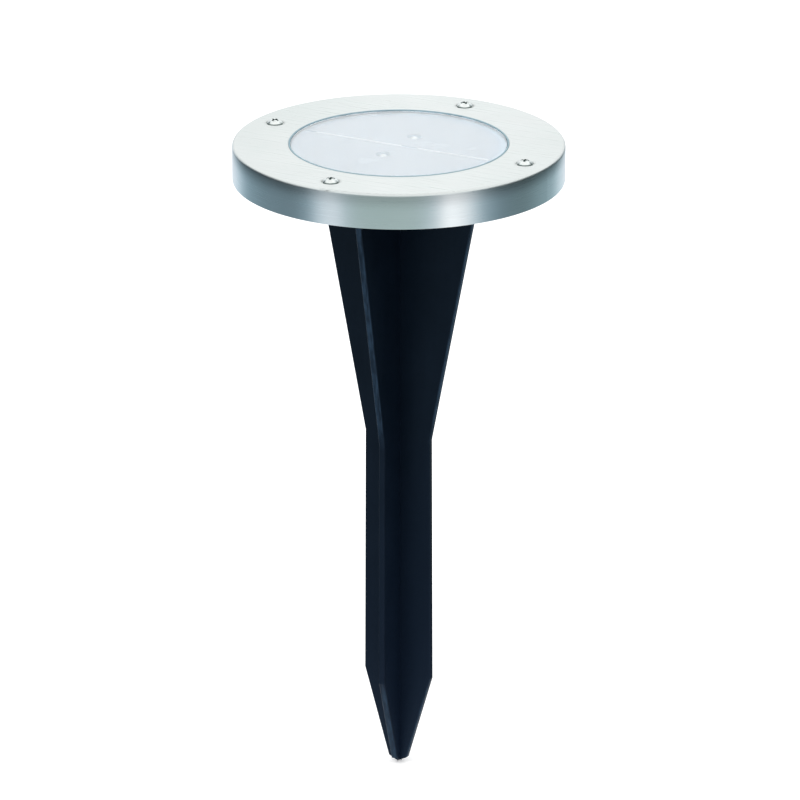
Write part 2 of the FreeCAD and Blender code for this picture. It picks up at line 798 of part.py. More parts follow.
def controller_chip():
    """Eight-legged controller package under the board."""
    low = "-Size.board_bottom - Size.chip_height"
    west = "-Size.chip_west"
    east = west + " + Size.chip_width"
    south = "-Size.chip_south"
    package = box("ChipPackage", [(west, east), (south, south + " + Size.chip_length"),
                                  (low, "-Size.board_bottom - Size.hole_gap")])
    legs = []
    for number in range(4):
        start = "%s + Size.leg_width + %d * Size.leg_pitch" % (south, number)
        legs.append(box("ChipLeg%d" % number, [
            (west + " - Size.leg_reach", east + " + Size.leg_reach"),
            (start, start + " + Size.leg_width"),
            ("-Size.board_bottom - Size.leg_sheet", "-Size.board_bottom")]))
    keep(fuse("ControllerChip", [package] + legs), "controller_chip")


def inductor():
    """Drum inductor that boosts the cell voltage: ferrite bobbin and its copper winding."""
    across = "Size.coil_across"
    along = "-Size.coil_along"
    high = "-Size.board_bottom"
    low = high + " - Size.core_length"
    pieces = [
        cylinder("CoreTop", "Size.core_radius", high + " - Size.core_flange", high, across, along),
        cylinder("CoreWaist", "Size.core_waist", low, high, across, along),
        cylinder("CoreBottom", "Size.core_radius", low, low + " + Size.core_flange", across, along)]
    keep(fuse("InductorCore", pieces), "inductor_core")
    outer = cylinder("CoilOuter", "Size.coil_radius",
                     low + " + Size.core_flange + Size.gasket_gap",
                     high + " - Size.core_flange - Size.gasket_gap", across, along)
    inner = cylinder("CoilInner", "Size.core_waist + Size.gasket_gap", low, high, across, along)
    keep(cut("InductorCoil", outer, inner), "inductor_coil")


def board_pins():
    """Two stiff pins that join the lamp board to the control board."""
    pins = []
    for number, side in enumerate(("", "-")):
        pins.append(cylinder("BoardPin%d" % number, "Size.board_pin_radius", "-Size.board_top",
                             "-Size.led_board_bottom", side + "Size.lead_pitch / 2",
                             "-Size.board_pin_along"))
    keep(group("BoardPins", pins), "board_pins")


def board_screws():
    """Two small screws that hold the control board down on its posts."""
    screws = []
    for number, side in enumerate(("", "-")):
        across, along = board_corner(side)
        screws.append(pan_screw("BoardScrew%d" % number, "small_head", "small_head_height",
                                "small_shank", "small_length", across, along,
                                "-Size.board_top"))
    keep(group("BoardScrews", screws), "board_screws")


# ---------------------------------------------------------------- battery

def lying_cylinder(name, radius, west, east):
    """A cylinder along +X on the battery's axis."""
    item = doc.addObject("Part::Cylinder", name)
    bind(item, Radius=radius, Height="(%s) - (%s)" % (east, west))
    item.Placement.Rotation = FreeCAD.Rotation(FreeCAD.Vector(0, 1, 0), 90)
    set_place(item, west, "Size.battery_across", "-Size.battery_depth")
    return item


def battery():
    """A rechargeable AAA cell: metal can with its button, and the printed sleeve round it."""
    can_radius = "Size.battery_radius - Size.battery_sleeve - Size.can_gap"
    west = "-Size.battery_left"
    east = "Size.battery_length - Size.battery_left"
    shoulder = east + " - Size.button_height"
    can = lying_cylinder("CanBarrel", can_radius, west, shoulder)
    button = lying_cylinder("CanButton", "Size.button_radius", shoulder + " - Size.button_root",
                            east)
    keep(fuse("BatteryCan", [can, button]), "battery_can")
    outer = lying_cylinder("SleeveOuter", "Size.battery_radius", west + " + Size.sleeve_west",
                           east + " - Size.sleeve_east")
    inner = lying_cylinder("SleeveInner", "Size.battery_radius - Size.battery_sleeve",
                           west + " - Size.past", east + " + Size.past")
    keep(cut("BatterySleeve", outer, inner), "battery_sleeve")


def contact_plate(name, label, west):
    """A nickel-plated contact plate standing across the battery's axis."""
    plate = box(name + "Plate", [
        (west, west + " + Size.contact_sheet"),
        ("Size.battery_across - Size.contact_half", "Size.battery_across + Size.contact_half"),
        ("-Size.hub_depth + Size.hub_floor", "-Size.battery_depth + Size.contact_rise")])
    tab = box(name + "Tab", [
        (west, west + " + Size.contact_sheet"),
        ("Size.battery_across - Size.contact_half - Size.tab_reach", "Size.battery_across"),
        ("-Size.battery_depth - Size.tab_half", "-Size.battery_depth + Size.tab_half")])
    keep(fuse(name, [plate, tab]), label)


def contact_spring():
    """Conical coil spring that presses the cell against the button contact."""
    coil = doc.addObject("Part::Helix", "SpringPath")
    bind(coil, Radius="Size.spring_radius", Pitch="Size.spring_pitch",
         Height="Size.spring_length - 2 * Size.spring_wire - 2 * Size.gasket_gap")
    coil.Angle = SPRING_TAPER
    coil.SegmentLength = SPRING_TURNS_PER_FACE
    wire = doc.addObject("Part::Circle", "SpringWire")
    bind(wire, Radius="Size.spring_wire")
    wire.Placement.Rotation = FreeCAD.Rotation(FreeCAD.Vector(1, 0, 0), 90)
    set_place(wire, "Size.spring_radius")
    spring = doc.addObject("Part::Sweep", "ContactSpring")
    spring.Sections = [wire]
    spring.Spine = (coil, [])
    spring.Solid = True
    spring.Frenet = True
    spring.Placement.Rotation = FreeCAD.Rotation(FreeCAD.Vector(0, 1, 0), 90)
    set_place(spring, "-Size.battery_left - Size.spring_length + Size.spring_wire + Size.gasket_gap",
              "Size.battery_across")
    keep(spring, "contact_spring", "Size.total_height - Size.battery_depth")


def battery_door():
    """Flush plate under the battery, with a countersunk screw hole in one corner."""
    body = new_body("BatteryDoor")
    shape = new_sketch(body, "DoorOutline", offset="-Size.hub_depth")
    battery_rectangle(shape, "-Size.door_left", "Size.door_right", "Size.door_half_y")
    circle(shape, "Size.small_shank + Size.hole_gap", "-Size.door_screw_across",
           "Size.door_screw_along")
    pad(body, "DoorPlate", shape, "Size.door_sheet")
    round_edges(body, "DoorCorners", is_upright, "Size.door_corner")
    sink = new_sketch(body, "Countersink", offset="-Size.hub_depth")
    circle(sink, "Size.small_head + Size.sink_gap", "-Size.door_screw_across",
           "Size.door_screw_along")
    pocket(body, "CountersinkCut", sink, "Size.door_sheet * Size.sink_share", upward=True)
    keep(body, "battery_door")


def is_upright(edge):
    """True for a straight upright edge."""
    if edge.Curve.TypeId != "Part::GeomLine":
        return False
    return abs(edge.Curve.Direction.z) > 0.999


def door_screw():
    """One small screw that holds the battery door, its head flush in the door."""
    across = "-Size.door_screw_across"
    along = "Size.door_screw_along"
    low = "-Size.hub_depth"
    neck = low + " + Size.door_sheet * Size.sink_share"
    head = cylinder("DoorScrewHead", "Size.small_head", low + " + Size.door_screw_drop", neck,
                    across, along)
    stem = cylinder("DoorScrewStem", "Size.small_shank", neck + " - Size.sink_gap",
                    low + " + Size.hub_floor + Size.door_screw_tail", across, along)
    slot = box("DoorScrewSlot", [
        (across + " - Size.slot_half_length", across + " + Size.slot_half_length"),
        (along + " - Size.slot_half_width", along + " + Size.slot_half_width"),
        (low, low + " + Size.slot_depth")])
    keep(cut("DoorScrew", fuse("DoorScrewSolid", [head, stem]), slot), "door_screw")


# ---------------------------------------------------------------- slide switch

def turned_to_switch(item):
    """Swing a piece drawn along +X round to the switch's bearing."""
    item.Placement.Rotation = FreeCAD.Rotation(FreeCAD.Vector(0, 0, 1), SWITCH_BEARING)
    return item


def switch_body():
    """Slide switch case on the pan floor, hollow underneath for its moving knob."""
    floor = "-Size.rim_height + Size.wall"
    west = "Size.switch_reach - Size.switch_half_width"
    east = "Size.switch_reach + Size.switch_half_width"
    case = box("SwitchCase", [(west, east), ("-Size.switch_half_length", "Size.switch_half_length"),
                              (floor, "-Size.switch_top")])
    half_width = "(Size.knob_half_width + Size.foot_overhang + Size.foot_gap)"
    half_length = "(Size.knob_half_length + Size.foot_reach + Size.knob_travel / 2 + Size.foot_gap)"
    hollow = box("SwitchHollow", [
        ("Size.switch_reach - " + half_width, "Size.switch_reach + " + half_width),
        ("-" + half_length, half_length),
        (floor + " - Size.past", floor + " + Size.foot_high + Size.foot_gap")])
    keep(turned_to_switch(cut("SwitchBody", case, hollow)), "switch_body")


def switch_knob():
    """Sliding knob: a foot inside the case and a grip that comes out under the rim."""
    centre = "-Size.knob_travel / 2"
    floor = "-Size.rim_height + Size.wall"
    half_width = "(Size.knob_half_width + Size.foot_overhang)"
    half_length = "(Size.knob_half_length + Size.foot_reach)"
    foot = box("KnobFoot", [
        ("Size.switch_reach - " + half_width, "Size.switch_reach + " + half_width),
        (centre + " - " + half_length, centre + " + " + half_length),
        (floor + " + Size.foot_low", floor + " + Size.foot_high")])
    grip = box("KnobGrip", [
        ("Size.switch_reach - Size.knob_half_width", "Size.switch_reach + Size.knob_half_width"),
        ("%s - Size.knob_half_length" % centre, "%s + Size.knob_half_length" % centre),
        ("-Size.knob_drop", floor + " + Size.foot_high / 2")])
    keep(turned_to_switch(fuse("SwitchKnob", [foot, grip])), "switch_knob")


# ---------------------------------------------------------------- wires

def rounded_path(points, radius):
    """A wire of straight runs joined by tangent arcs."""
    edges = []
    start = points[0]
    for before, corner, after in zip(points, points[1:], points[2:]):
        back = (before - corner).normalize()
        ahead = (after - corner).normalize()
        half = back.getAngle(ahead) / 2
        trim = radius / math.tan(half)
        enter = corner + back * trim
        leave = corner + ahead * trim
        bisector = (back + ahead).normalize()
        middle = corner + bisector * (radius / math.sin(half) - radius)
        edges.append(Part.LineSegment(start, enter).toShape())
        edges.append(Part.Arc(enter, middle, leave).toShape())
        start = leave
    edges.append(Part.LineSegment(start, points[-1]).toShape())
    return Part.Wire(edges)


def insulated_wire(name, label, points, bend=1.0, radius=0.55):
    """One round insulated wire along rounded runs."""
    path = rounded_path([FreeCAD.Vector(*point) for point in points], bend)
    start = path.Edges[0].firstVertex(True).Point
    tangent = FreeCAD.Vector(*points[1]) - FreeCAD.Vector(*points[0])
    section = Part.Wire(Part.Circle(start, tangent, radius).toShape())
    item = doc.addObject("Part::Feature", name)
    item.Shape = path.makePipeShell([section], True, False)
    keep(item, label)


def node_name(label):
    """The object name that goes with a label: battery_wire_red becomes BatteryWireRed."""
    return label.title().replace("_", "")


def wires():
    """Battery, panel and switch wires, each soldered at both ends."""
    tab = sheet.battery_across - sheet.contact_half - sheet.tab_reach
    east = sheet.battery_length - sheet.battery_left + sheet.contact_sheet / 2 + sheet.press_gap
    west = sheet.battery_left + sheet.spring_length + sheet.contact_sheet / 2
    deep = -sheet.battery_depth
    over = -sheet.board_top
    for label, side, start in (("battery_wire_red", 1, east), ("battery_wire_black", -1, -west)):
        turn = (side * BATTERY_TURN[0], BATTERY_TURN[1])
        pad_spot = (side * BATTERY_PAD[0], BATTERY_PAD[1])
        insulated_wire(node_name(label), label, [
            (start, tab, deep), (start, BATTERY_RUN_END, deep), (*turn, deep - BATTERY_WIRE_DIP),
            (*pad_spot, deep - BATTERY_WIRE_RISE), (*pad_spot, -sheet.board_bottom)])
    for label, side in (("panel_wire_red", 1), ("panel_wire_black", -1)):
        pad_spot = (side * PANEL_PAD[0], PANEL_PAD[1])
        foot = (side * PANEL_FOOT[0], PANEL_FOOT[1])
        insulated_wire(node_name(label), label, [
            (*pad_spot, -sheet.panel_bottom), (*pad_spot, -sheet.panel_bottom - PANEL_WIRE_DROP),
            (*foot, over + PANEL_WIRE_DROP), (*foot, over)], bend=0.7)
    bearing = math.radians(SWITCH_BEARING)
    outward = FreeCAD.Vector(math.cos(bearing), math.sin(bearing), 0)
    sideways = FreeCAD.Vector(-outward.y, outward.x, 0)
    for label, side in (("switch_wire_first", 1), ("switch_wire_second", -1)):
        low = over + SWITCH_WIRE_LOW
        high = over + PANEL_WIRE_DROP
        runs = [(sheet.switch_reach - sheet.switch_half_width, low), (SWITCH_NOTCH_REACH, low),
                (SWITCH_RISE_REACH, high), (SWITCH_PAD_REACH, high), (SWITCH_PAD_REACH, over)]
        points = [outward * reach + sideways * (side * SWITCH_WIRE_SIDE)
                  + FreeCAD.Vector(0, 0, up) for reach, up in runs]
        insulated_wire(node_name(label), label, points, bend=0.8, radius=0.5)


# ---------------------------------------------------------------- ground spike

def fin_outline(sketch):
    """Both fins of one pair: flare, waist, long shaft, shoulder and blunt tip."""
    high = "Size.total_height - Size.plate_top - Size.plate_sheet / 2"
    right = [
        ("Size.flare_radius", high),
        ("Size.waist_radius", "Size.waist_height"),
        ("Size.shoulder_radius", "Size.shoulder_height"),
        ("Size.tip_radius", "Size.tip_height")]
    left = [("-" + across, up) for across, up in reversed(right)]
    outline(sketch, right + [("0", "0")] + left)


def is_fin_rim(edge):
    """True for the long outer edges of the fins between the plate and the tip."""
    middle = edge.CenterOfMass
    half = sheet.fin_sheet / 2
    low = sheet.tip_height
    high = sheet.total_height - sheet.plate_top - sheet.plate_sheet
    if edge.Length < SHORTEST_FIN_EDGE or not low < middle.z < high:
        return False
    on_x_fin = abs(abs(middle.y) - half) < 0.01 and abs(middle.x) > 2 * half
    on_y_fin = abs(abs(middle.x) - half) < 0.01 and abs(middle.y) > 2 * half
    return on_x_fin or on_y_fin


def spike():
    """Moulded ground spike: two crossed fin pairs, a top plate and a keyed peg."""
    body = new_body("Spike")
    for name, plane in (("FinPairX", "XZ_Plane"), ("FinPairY", "YZ_Plane")):
        shape = new_sketch(body, name + "Outline", plane)
        fin_outline(shape)
        fins = pad(body, name, shape, "Size.fin_sheet")
        fins.Midplane = True
    round_edges(body, "FinRims", is_fin_rim, "Size.fin_edge")
    plate_high = "Size.total_height - Size.plate_top"
    peg_high = "Size.total_height - Size.peg_top"
    revolve(body, "PlateAndPeg", [
        ("0", plate_high + " - Size.plate_sheet"),
        ("Size.plate_radius", plate_high + " - Size.plate_sheet"),
        ("Size.plate_radius", plate_high),
        ("Size.peg_radius", plate_high),
        ("Size.peg_radius", peg_high + " - Size.peg_chamfer"),
        ("Size.peg_radius - Size.peg_chamfer", peg_high),
        ("0", peg_high)])
    key = new_sketch(body, "PegKey", offset=plate_high + " - Size.overlap / 2")
    rectangle(key, "(Size.key_reach - Size.key_root) / 2", "Size.key_width / 2",
              "-(Size.key_reach + Size.key_root) / 2")
    pad(body, "PegKeySolid", key, "Size.plate_top - Size.peg_top - Size.key_drop")
    keep(body, "spike", height="0")


# ---------------------------------------------------------------- build and write

def check_document():
    """Stop if any object failed or any node's shape is missing or not valid."""
    for item in doc.Objects:
        if "Invalid" in item.State or "Error" in item.State:
            raise RuntimeError("%s did not compute: %s" % (item.Name, item.State))
    for item in nodes:
        if item.Shape.isNull() or not item.Shape.isValid() or not item.Shape.Solids:
            raise RuntimeError("%s has no valid solid" % item.Label)


def main():
    bezel_ring()
    bezel_screws()
    threaded_inserts()
    window_lens()
    window_gasket()
    housing()
    rim_seal()
    solar_board()
    gap = "Size.cell_gap / 2"
    solar_cell("CellFront", "cell_front", "-Size.head_radius", "-" + gap)
    solar_cell("CellRear", "cell_rear", gap, "Size.head_radius")
    bus_ribbon("RibbonLong", "bus_ribbon_long", "-Size.ribbon_west", "Size.ribbon_break")
    bus_ribbon("RibbonShort", "bus_ribbon_short", "Size.ribbon_resume", "Size.ribbon_east")
    lamp("LampFront", "led_front", "-")
    lamp("LampRear", "led_rear", "")
    lamp_leads()
    led_board()
    control_board()
    controller_chip()
    inductor()
    board_pins()
    board_screws()
    battery()
    contact_plate("ContactPlus", "contact_plus",
                  "Size.battery_length - Size.battery_left + Size.press_gap")
    contact_plate("ContactMinus", "contact_minus",
                  "-Size.battery_left - Size.spring_length - Size.contact_sheet")
    contact_spring()
    battery_door()
    door_screw()
    switch_body()
    switch_knob()
    wires()
    spike()
    doc.recompute()
    check_document()
    os.makedirs("parts", exist_ok=True)
    for item in nodes:
        item.Shape.exportStep("parts/%s.step" % item.Label)
        print("%-20s solids %d volume %.1f" % (item.Label, len(item.Shape.Solids), item.Shape.Volume))


main()
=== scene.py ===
import json
import math

import bmesh
import bpy
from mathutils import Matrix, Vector


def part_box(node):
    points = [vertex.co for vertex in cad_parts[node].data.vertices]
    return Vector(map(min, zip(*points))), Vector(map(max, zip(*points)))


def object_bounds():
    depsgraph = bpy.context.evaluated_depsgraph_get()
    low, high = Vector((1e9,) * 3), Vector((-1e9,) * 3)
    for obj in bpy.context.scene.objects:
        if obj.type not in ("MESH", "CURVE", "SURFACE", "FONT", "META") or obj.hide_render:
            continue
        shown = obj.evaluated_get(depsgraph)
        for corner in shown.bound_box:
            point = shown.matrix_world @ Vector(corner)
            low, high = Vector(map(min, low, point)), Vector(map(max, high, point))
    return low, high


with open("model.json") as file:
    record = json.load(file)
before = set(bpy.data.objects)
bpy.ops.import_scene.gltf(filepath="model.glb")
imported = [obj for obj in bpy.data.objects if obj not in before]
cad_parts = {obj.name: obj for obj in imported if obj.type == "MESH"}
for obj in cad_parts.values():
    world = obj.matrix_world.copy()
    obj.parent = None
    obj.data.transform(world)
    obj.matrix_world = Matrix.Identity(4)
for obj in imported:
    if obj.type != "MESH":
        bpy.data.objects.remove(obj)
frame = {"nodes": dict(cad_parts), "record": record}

cad_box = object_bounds()
MM = 0.001
MICRON = 0.001 * MM
BLACK = (0.0, 0.0, 0.0)
WHITE = (1.0, 1.0, 1.0)
# Most values of a noise texture lie in this span.
SPREAD = (0.3, 0.7)
nodes_by_name = frame["nodes"]
head_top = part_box("bezel_ring")[1].z
screw_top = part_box("bezel_screws")[1].z


# ---------------------------------------------------------------- material helpers

class Shader:
    """A node material built round one Principled shader, with object coordinates."""

    def __init__(self, name):
        self.material = bpy.data.materials.new(name)
        self.material.use_nodes = True
        self.tree = self.material.node_tree
        self.principled = self.tree.nodes["Principled BSDF"]
        self.place = self.add("ShaderNodeTexCoord").outputs["Object"]
        self.normal = None

    def add(self, kind, **settings):
        node = self.tree.nodes.new(kind)
        for key, value in settings.items():
            setattr(node, key, value)
        return node

    def link(self, source, target):
        self.tree.links.new(source, target)

    def put(self, **values):
        """Set constants on the Principled shader's own sockets."""
        for key, value in values.items():
            self.principled.inputs[key.replace("_", " ")].default_value = value
        return self

    def stretched(self, scale):
        """Object coordinates scaled along each axis, in cycles per metre."""
        mapping = self.add("ShaderNodeMapping")
        mapping.inputs["Scale"].default_value = scale
        self.link(self.place, mapping.inputs["Vector"])
        return mapping.outputs["Vector"]

    def axes(self, vector=None):
        """The X, Y and Z parts of a vector, which is the object coordinates unless given."""
        node = self.add("ShaderNodeSeparateXYZ")
        self.link(vector or self.place, node.inputs[0])
        return [node.outputs[name] for name in "XYZ"]

    def around(self, turns, rise):
        """Coordinates round the light's axis: its angle and its height, each scaled."""
        x, y, z = self.axes()
        wide = self.math("MULTIPLY", self.math("ARCTAN2", y, x), turns)
        tall = self.math("MULTIPLY", z, rise)
        joined = self.add("ShaderNodeCombineXYZ")
        self.link(wide, joined.inputs["X"])
        self.link(tall, joined.inputs["Y"])
        return joined.outputs[0]

    def math(self, operation, first, second=0.0):
        node = self.add("ShaderNodeMath", operation=operation)
        for socket, value in zip(node.inputs, (first, second)):
            if isinstance(value, (int, float)):
                socket.default_value = value
            else:
                self.link(value, socket)
        return node.outputs[0]

    def noise(self, scale, detail=4.0, roughness=0.55, vector=None, distortion=0.0):
        node = self.add("ShaderNodeTexNoise")
        node.inputs["Scale"].default_value = scale
        node.inputs["Detail"].default_value = detail
        node.inputs["Roughness"].default_value = roughness
        node.inputs["Distortion"].default_value = distortion
        self.link(vector or self.place, node.inputs["Vector"])
        return node.outputs["Fac"]

    def remap(self, value, low, high, to_low, to_high, clamp=True):
        node = self.add("ShaderNodeMapRange", clamp=clamp)
        node.inputs["From Min"].default_value = low
        node.inputs["From Max"].default_value = high
        node.inputs["To Min"].default_value = to_low
        node.inputs["To Max"].default_value = to_high
        self.link(value, node.inputs["Value"])
        return node.outputs["Result"]

    def mix(self, factor, first, second):
        """Blend two colours, each a tuple or a socket, by a socket."""
        node = self.add("ShaderNodeMix", data_type="RGBA")
        self.link(factor, node.inputs[0])
        for socket, value in zip(node.inputs[6:8], (first, second)):
            if isinstance(value, tuple):
                socket.default_value = (*value, 1.0)
            else:
                self.link(value, socket)
        return node.outputs[2]

    def clouded(self, texture, first, second, spread=SPREAD):
        """Blend two colours by a noise texture, over its span of values."""
        return self.mix(self.remap(texture, *spread, 0.0, 1.0), first, second)

    def mix_value(self, factor, first, second):
        """Blend two numbers, each a plain number or a socket."""
        node = self.add("ShaderNodeMix", data_type="FLOAT")
        for socket, value in zip((node.inputs[0], *node.inputs[2:4]), (factor, first, second)):
            if isinstance(value, (int, float)):
                socket.default_value = value
            else:
                self.link(value, socket)
        return node.outputs[0]

    def colour(self, socket):
        self.link(socket, self.principled.inputs["Base Color"])
        return self

    def rough(self, socket):
        self.link(socket, self.principled.inputs["Roughness"])
        return self

    def rough_by(self, texture, low, high, spread=SPREAD):
        """Vary the roughness between two numbers by a noise texture."""
        return self.rough(self.remap(texture, *spread, low, high))

    def bump(self, height, distance):
        """Add a layer of bump, in metres, over any layers already there."""
        node = self.add("ShaderNodeBump")
        node.inputs["Distance"].default_value = distance
        self.link(height, node.inputs["Height"])
        if self.normal is not None:
            self.link(self.normal, node.inputs["Normal"])
        self.normal = node.outputs["Normal"]
        self.link(self.normal, self.principled.inputs["Normal"])
        return self


# ---------------------------------------------------------------- materials

# Outer reach and height of the fins' corners.
SPIKE_FLARE = (31.35 * MM, 218.4 * MM)
SPIKE_WAIST = (13.3 * MM, 128.4 * MM)
SPIKE_SHOULDER = (13.7 * MM, 35.0 * MM)
SPIKE_TIP = (3.75 * MM, 1.8 * MM)
# Painted light: the spike is painted lighter and bluer from its tip up to this height.
LOW_SHEEN_HEIGHT = 150 * MM
LOW_SHEEN_SHARE = 0.55
LOW_SHEEN_COLOUR = (0.0060, 0.0125, 0.0290)
# Painted highlight on the sloped outer edges: this far in from the edge, over these heights.
EDGE_GLINT_OUTSIDE = (-0.7 * MM, -0.1 * MM)
EDGE_GLINT_FLARE = (126 * MM, 140 * MM)
EDGE_GLINT_TIP = (30 * MM, 36 * MM)
EDGE_GLINT_COLOUR = (0.0130, 0.0280, 0.0500)
# The rim leans in softly towards its bend: over this height, up to this slope.
RIM_BEND = 1.0 * MM
RIM_LEAN_HEIGHT = 6.5 * MM
RIM_LEAN = 0.30
# Where a normal's upright share turns the rim's finish into the flat top's.
TOP_TURN = (0.6, 0.9)
# The satin top scatters light widely, so it stays pale from every side.
TOP_METAL = 0.45
# Painted shade: the flat top's colour is darkened by this share.
TOP_PAINTED_SHADE = 0.07
# Roughness across the brushing.
STEEL_ROUGH = (0.26, 0.36)
# The pressed dimple walls, by reach from the screw's axis, are dulled by the punch.
SCREW_CIRCLE = 51.0 * MM
DIMPLE_WALL = (3.0 * MM, 3.1 * MM)
DIMPLE_LIP = (3.8 * MM, 4.1 * MM)
DIMPLE_METAL = 0.35
DIMPLE_ROUGH = 0.62
# Painted shade on the screws, also rougher: low round the head from the ring's top, and deep in
# the recess.
BASE_SHADE_EDGE = (-0.15 * MM, 0.32 * MM)
BASE_SHADE_WANDER = 0.1 * MM
SCREW_SHADE_COLOUR = (0.15, 0.21, 0.20)
RECESS_REACH = 1.6 * MM
RECESS_EDGE = (-0.28 * MM, -0.16 * MM)
# Collector fingers, and the middle and reaches of the painted shade that turns the cell deep blue
# towards its rim and of its pale blue border.
FINGER_PITCH = 1.8 * MM
FINGER_SHARE = 0.07
CELL_SHADE_MIDDLE = (-1.5 * MM, -0.5 * MM)
CELL_SHADE_REACH = (33.5 * MM, 38.0 * MM)
PALE_REACH = (37.6 * MM, 39.4 * MM)
# East of this the battery's sleeve is silver.
SLEEVE_BAND = 12.0 * MM


def brushed_stainless():
    """Sheet steel: straight brushing on the flat top, brushing round the rim."""
    m = Shader("stainless")
    m.put(Anisotropic=0.75)
    upright = m.axes(m.add("ShaderNodeTexCoord").outputs["Normal"])[2]
    top_factor = m.remap(m.math("ABSOLUTE", upright), *TOP_TURN, 0.0, 1.0)
    top_fine = m.noise(1.0, 3.0, vector=m.stretched((40, 4200, 60)))
    top_broad = m.noise(1.0, 3.0, vector=m.stretched((9, 260, 30)))
    rim_fine = m.noise(1.0, 3.0, vector=m.around(2.2, 5200))
    rim_broad = m.noise(1.0, 3.0, vector=m.around(0.9, 420))
    fine = m.mix_value(top_factor, rim_fine, top_fine)
    broad = m.mix_value(top_factor, rim_broad, top_broad)
    cloud = m.noise(16, 4.0, 0.62)
    tint = m.clouded(cloud, (0.600, 0.648, 0.632), (0.668, 0.694, 0.684), (0.38, 0.62))
    streaked = m.mix(m.remap(broad, *SPREAD, 0.0, 0.35), tint, (0.60, 0.62, 0.61))
    brushed = m.mix(m.remap(fine, 0.35, 0.65, 0.0, 0.35), streaked, (0.72, 0.73, 0.725))
    # Painted shade darkens the flat top's colour.
    m.colour(m.mix(m.math("MULTIPLY", top_factor, TOP_PAINTED_SHADE), brushed, BLACK))
    from_screw = reach_from_screw(m)
    dimple = m.math("MULTIPLY", m.remap(from_screw, *DIMPLE_LIP, 1.0, 0.0),
                    m.remap(from_screw, *DIMPLE_WALL, 0.0, 1.0))
    m.rough(m.mix_value(dimple, m.remap(fine, *SPREAD, *STEEL_ROUGH), DIMPLE_ROUGH))
    metal = m.mix_value(top_factor, 1.0, TOP_METAL)
    m.link(m.mix_value(dimple, metal, DIMPLE_METAL), m.principled.inputs["Metallic"])
    m.bump(fine, 4 * MICRON)
    m.bump(broad, 4 * MICRON)
    m.bump(rim_lean(m), 1.0)
    along = m.mix(top_factor, (0.0, 0.0, 1.0), (0.0, 1.0, 0.0))
    m.link(along, m.principled.inputs["Tangent"])
    return m.material


def rim_lean(m):
    """Height of the pressed rim's face, in metres: straight below, leaning in near its bend."""
    height = m.axes()[2]
    bend = head_top - RIM_BEND
    share = m.remap(height, bend - RIM_LEAN_HEIGHT, bend, 0.0, 1.0)
    cubed = m.math("MULTIPLY", m.math("MULTIPLY", share, share), share)
    above = m.math("MAXIMUM", m.math("SUBTRACT", height, bend), 0.0)
    lean = m.math("MULTIPLY", cubed, -RIM_LEAN * RIM_LEAN_HEIGHT / 3)
    return m.math("SUBTRACT", lean, m.math("MULTIPLY", above, RIM_LEAN))


def polished_steel():
    """Bright plated screw steel, with painted shade and more roughness low round the head and
    down in the recess.
    """
    m = Shader("screw_steel").put(Metallic=1.0)
    height = m.axes()[2]
    cloud = m.noise(900, 3.0)
    wander = m.remap(cloud, *SPREAD, -BASE_SHADE_WANDER, BASE_SHADE_WANDER)
    base_shade = m.remap(m.math("ADD", height, wander), head_top + BASE_SHADE_EDGE[0],
                        head_top + BASE_SHADE_EDGE[1], 1.0, 0.0)
    deep = m.remap(height, screw_top + RECESS_EDGE[0], screw_top + RECESS_EDGE[1], 1.0, 0.0)
    inside = m.math("LESS_THAN", reach_from_screw(m), RECESS_REACH)
    screw_shade = m.math("MAXIMUM", base_shade, m.math("MULTIPLY", deep, inside))
    bright = m.clouded(cloud, (0.84, 0.86, 0.84), (0.72, 0.745, 0.73), (0.4, 0.7))
    # Painted shade low round the head and down in the recess.
    m.colour(m.mix(screw_shade, bright, SCREW_SHADE_COLOUR))
    m.rough(m.mix_value(screw_shade, m.remap(cloud, 0.35, 0.7, 0.22, 0.36), 0.5))
    m.bump(m.noise(2600, 2.0), 6 * MICRON)
    return m.material


def reach_from_screw(m):
    """Distance from the axis of the nearest ring screw; the screws lie on the X and Y axes."""
    across, along = [m.math("ABSOLUTE", side) for side in m.axes()[:2]]
    outward = m.math("SUBTRACT", m.math("MAXIMUM", across, along), SCREW_CIRCLE)
    sideways = m.math("MINIMUM", across, along)
    square = m.math("ADD", m.math("MULTIPLY", outward, outward),
                    m.math("MULTIPLY", sideways, sideways))
    return m.math("SQRT", square)


def soft_metal(name, light, dark, low_rough, high_rough):
    """Small plated or machined metal parts."""
    m = Shader(name).put(Metallic=1.0)
    cloud = m.noise(1500, 4.0)
    m.colour(m.clouded(cloud, light, dark, (0.35, 0.65)))
    m.rough_by(cloud, low_rough, high_rough)
    m.bump(m.noise(4500, 2.0), 8 * MICRON)
    return m.material


def moulded_textures(m):
    """What moulded plastic is made of: soft cloud, marks along its flow and fine spark specks."""
    flow = m.noise(1.0, 3.0, vector=m.stretched((160, 160, 18)), distortion=0.6)
    return m.noise(55, 4.0, 0.6), flow, m.noise(3200, 2.0, 0.7)


def moulded_grain(m, speck, depth):
    """The spark texture's specks over a broader ripple."""
    m.bump(speck, depth)
    m.bump(m.noise(420, 3.0), depth * 1.5)


def moulded_plastic(name, light, dark, rough=(0.5, 0.62)):
    """Injection-moulded plastic: fine spark texture and faint flow marks."""
    m = Shader(name).put(Specular_IOR_Level=0.35)
    cloud, flow, speck = moulded_textures(m)
    m.colour(m.mix(m.remap(flow, 0.55, 0.8, 0.0, 0.35), m.clouded(cloud, dark, light), light))
    m.rough_by(speck, *rough)
    moulded_grain(m, speck, 20 * MICRON)
    return m.material


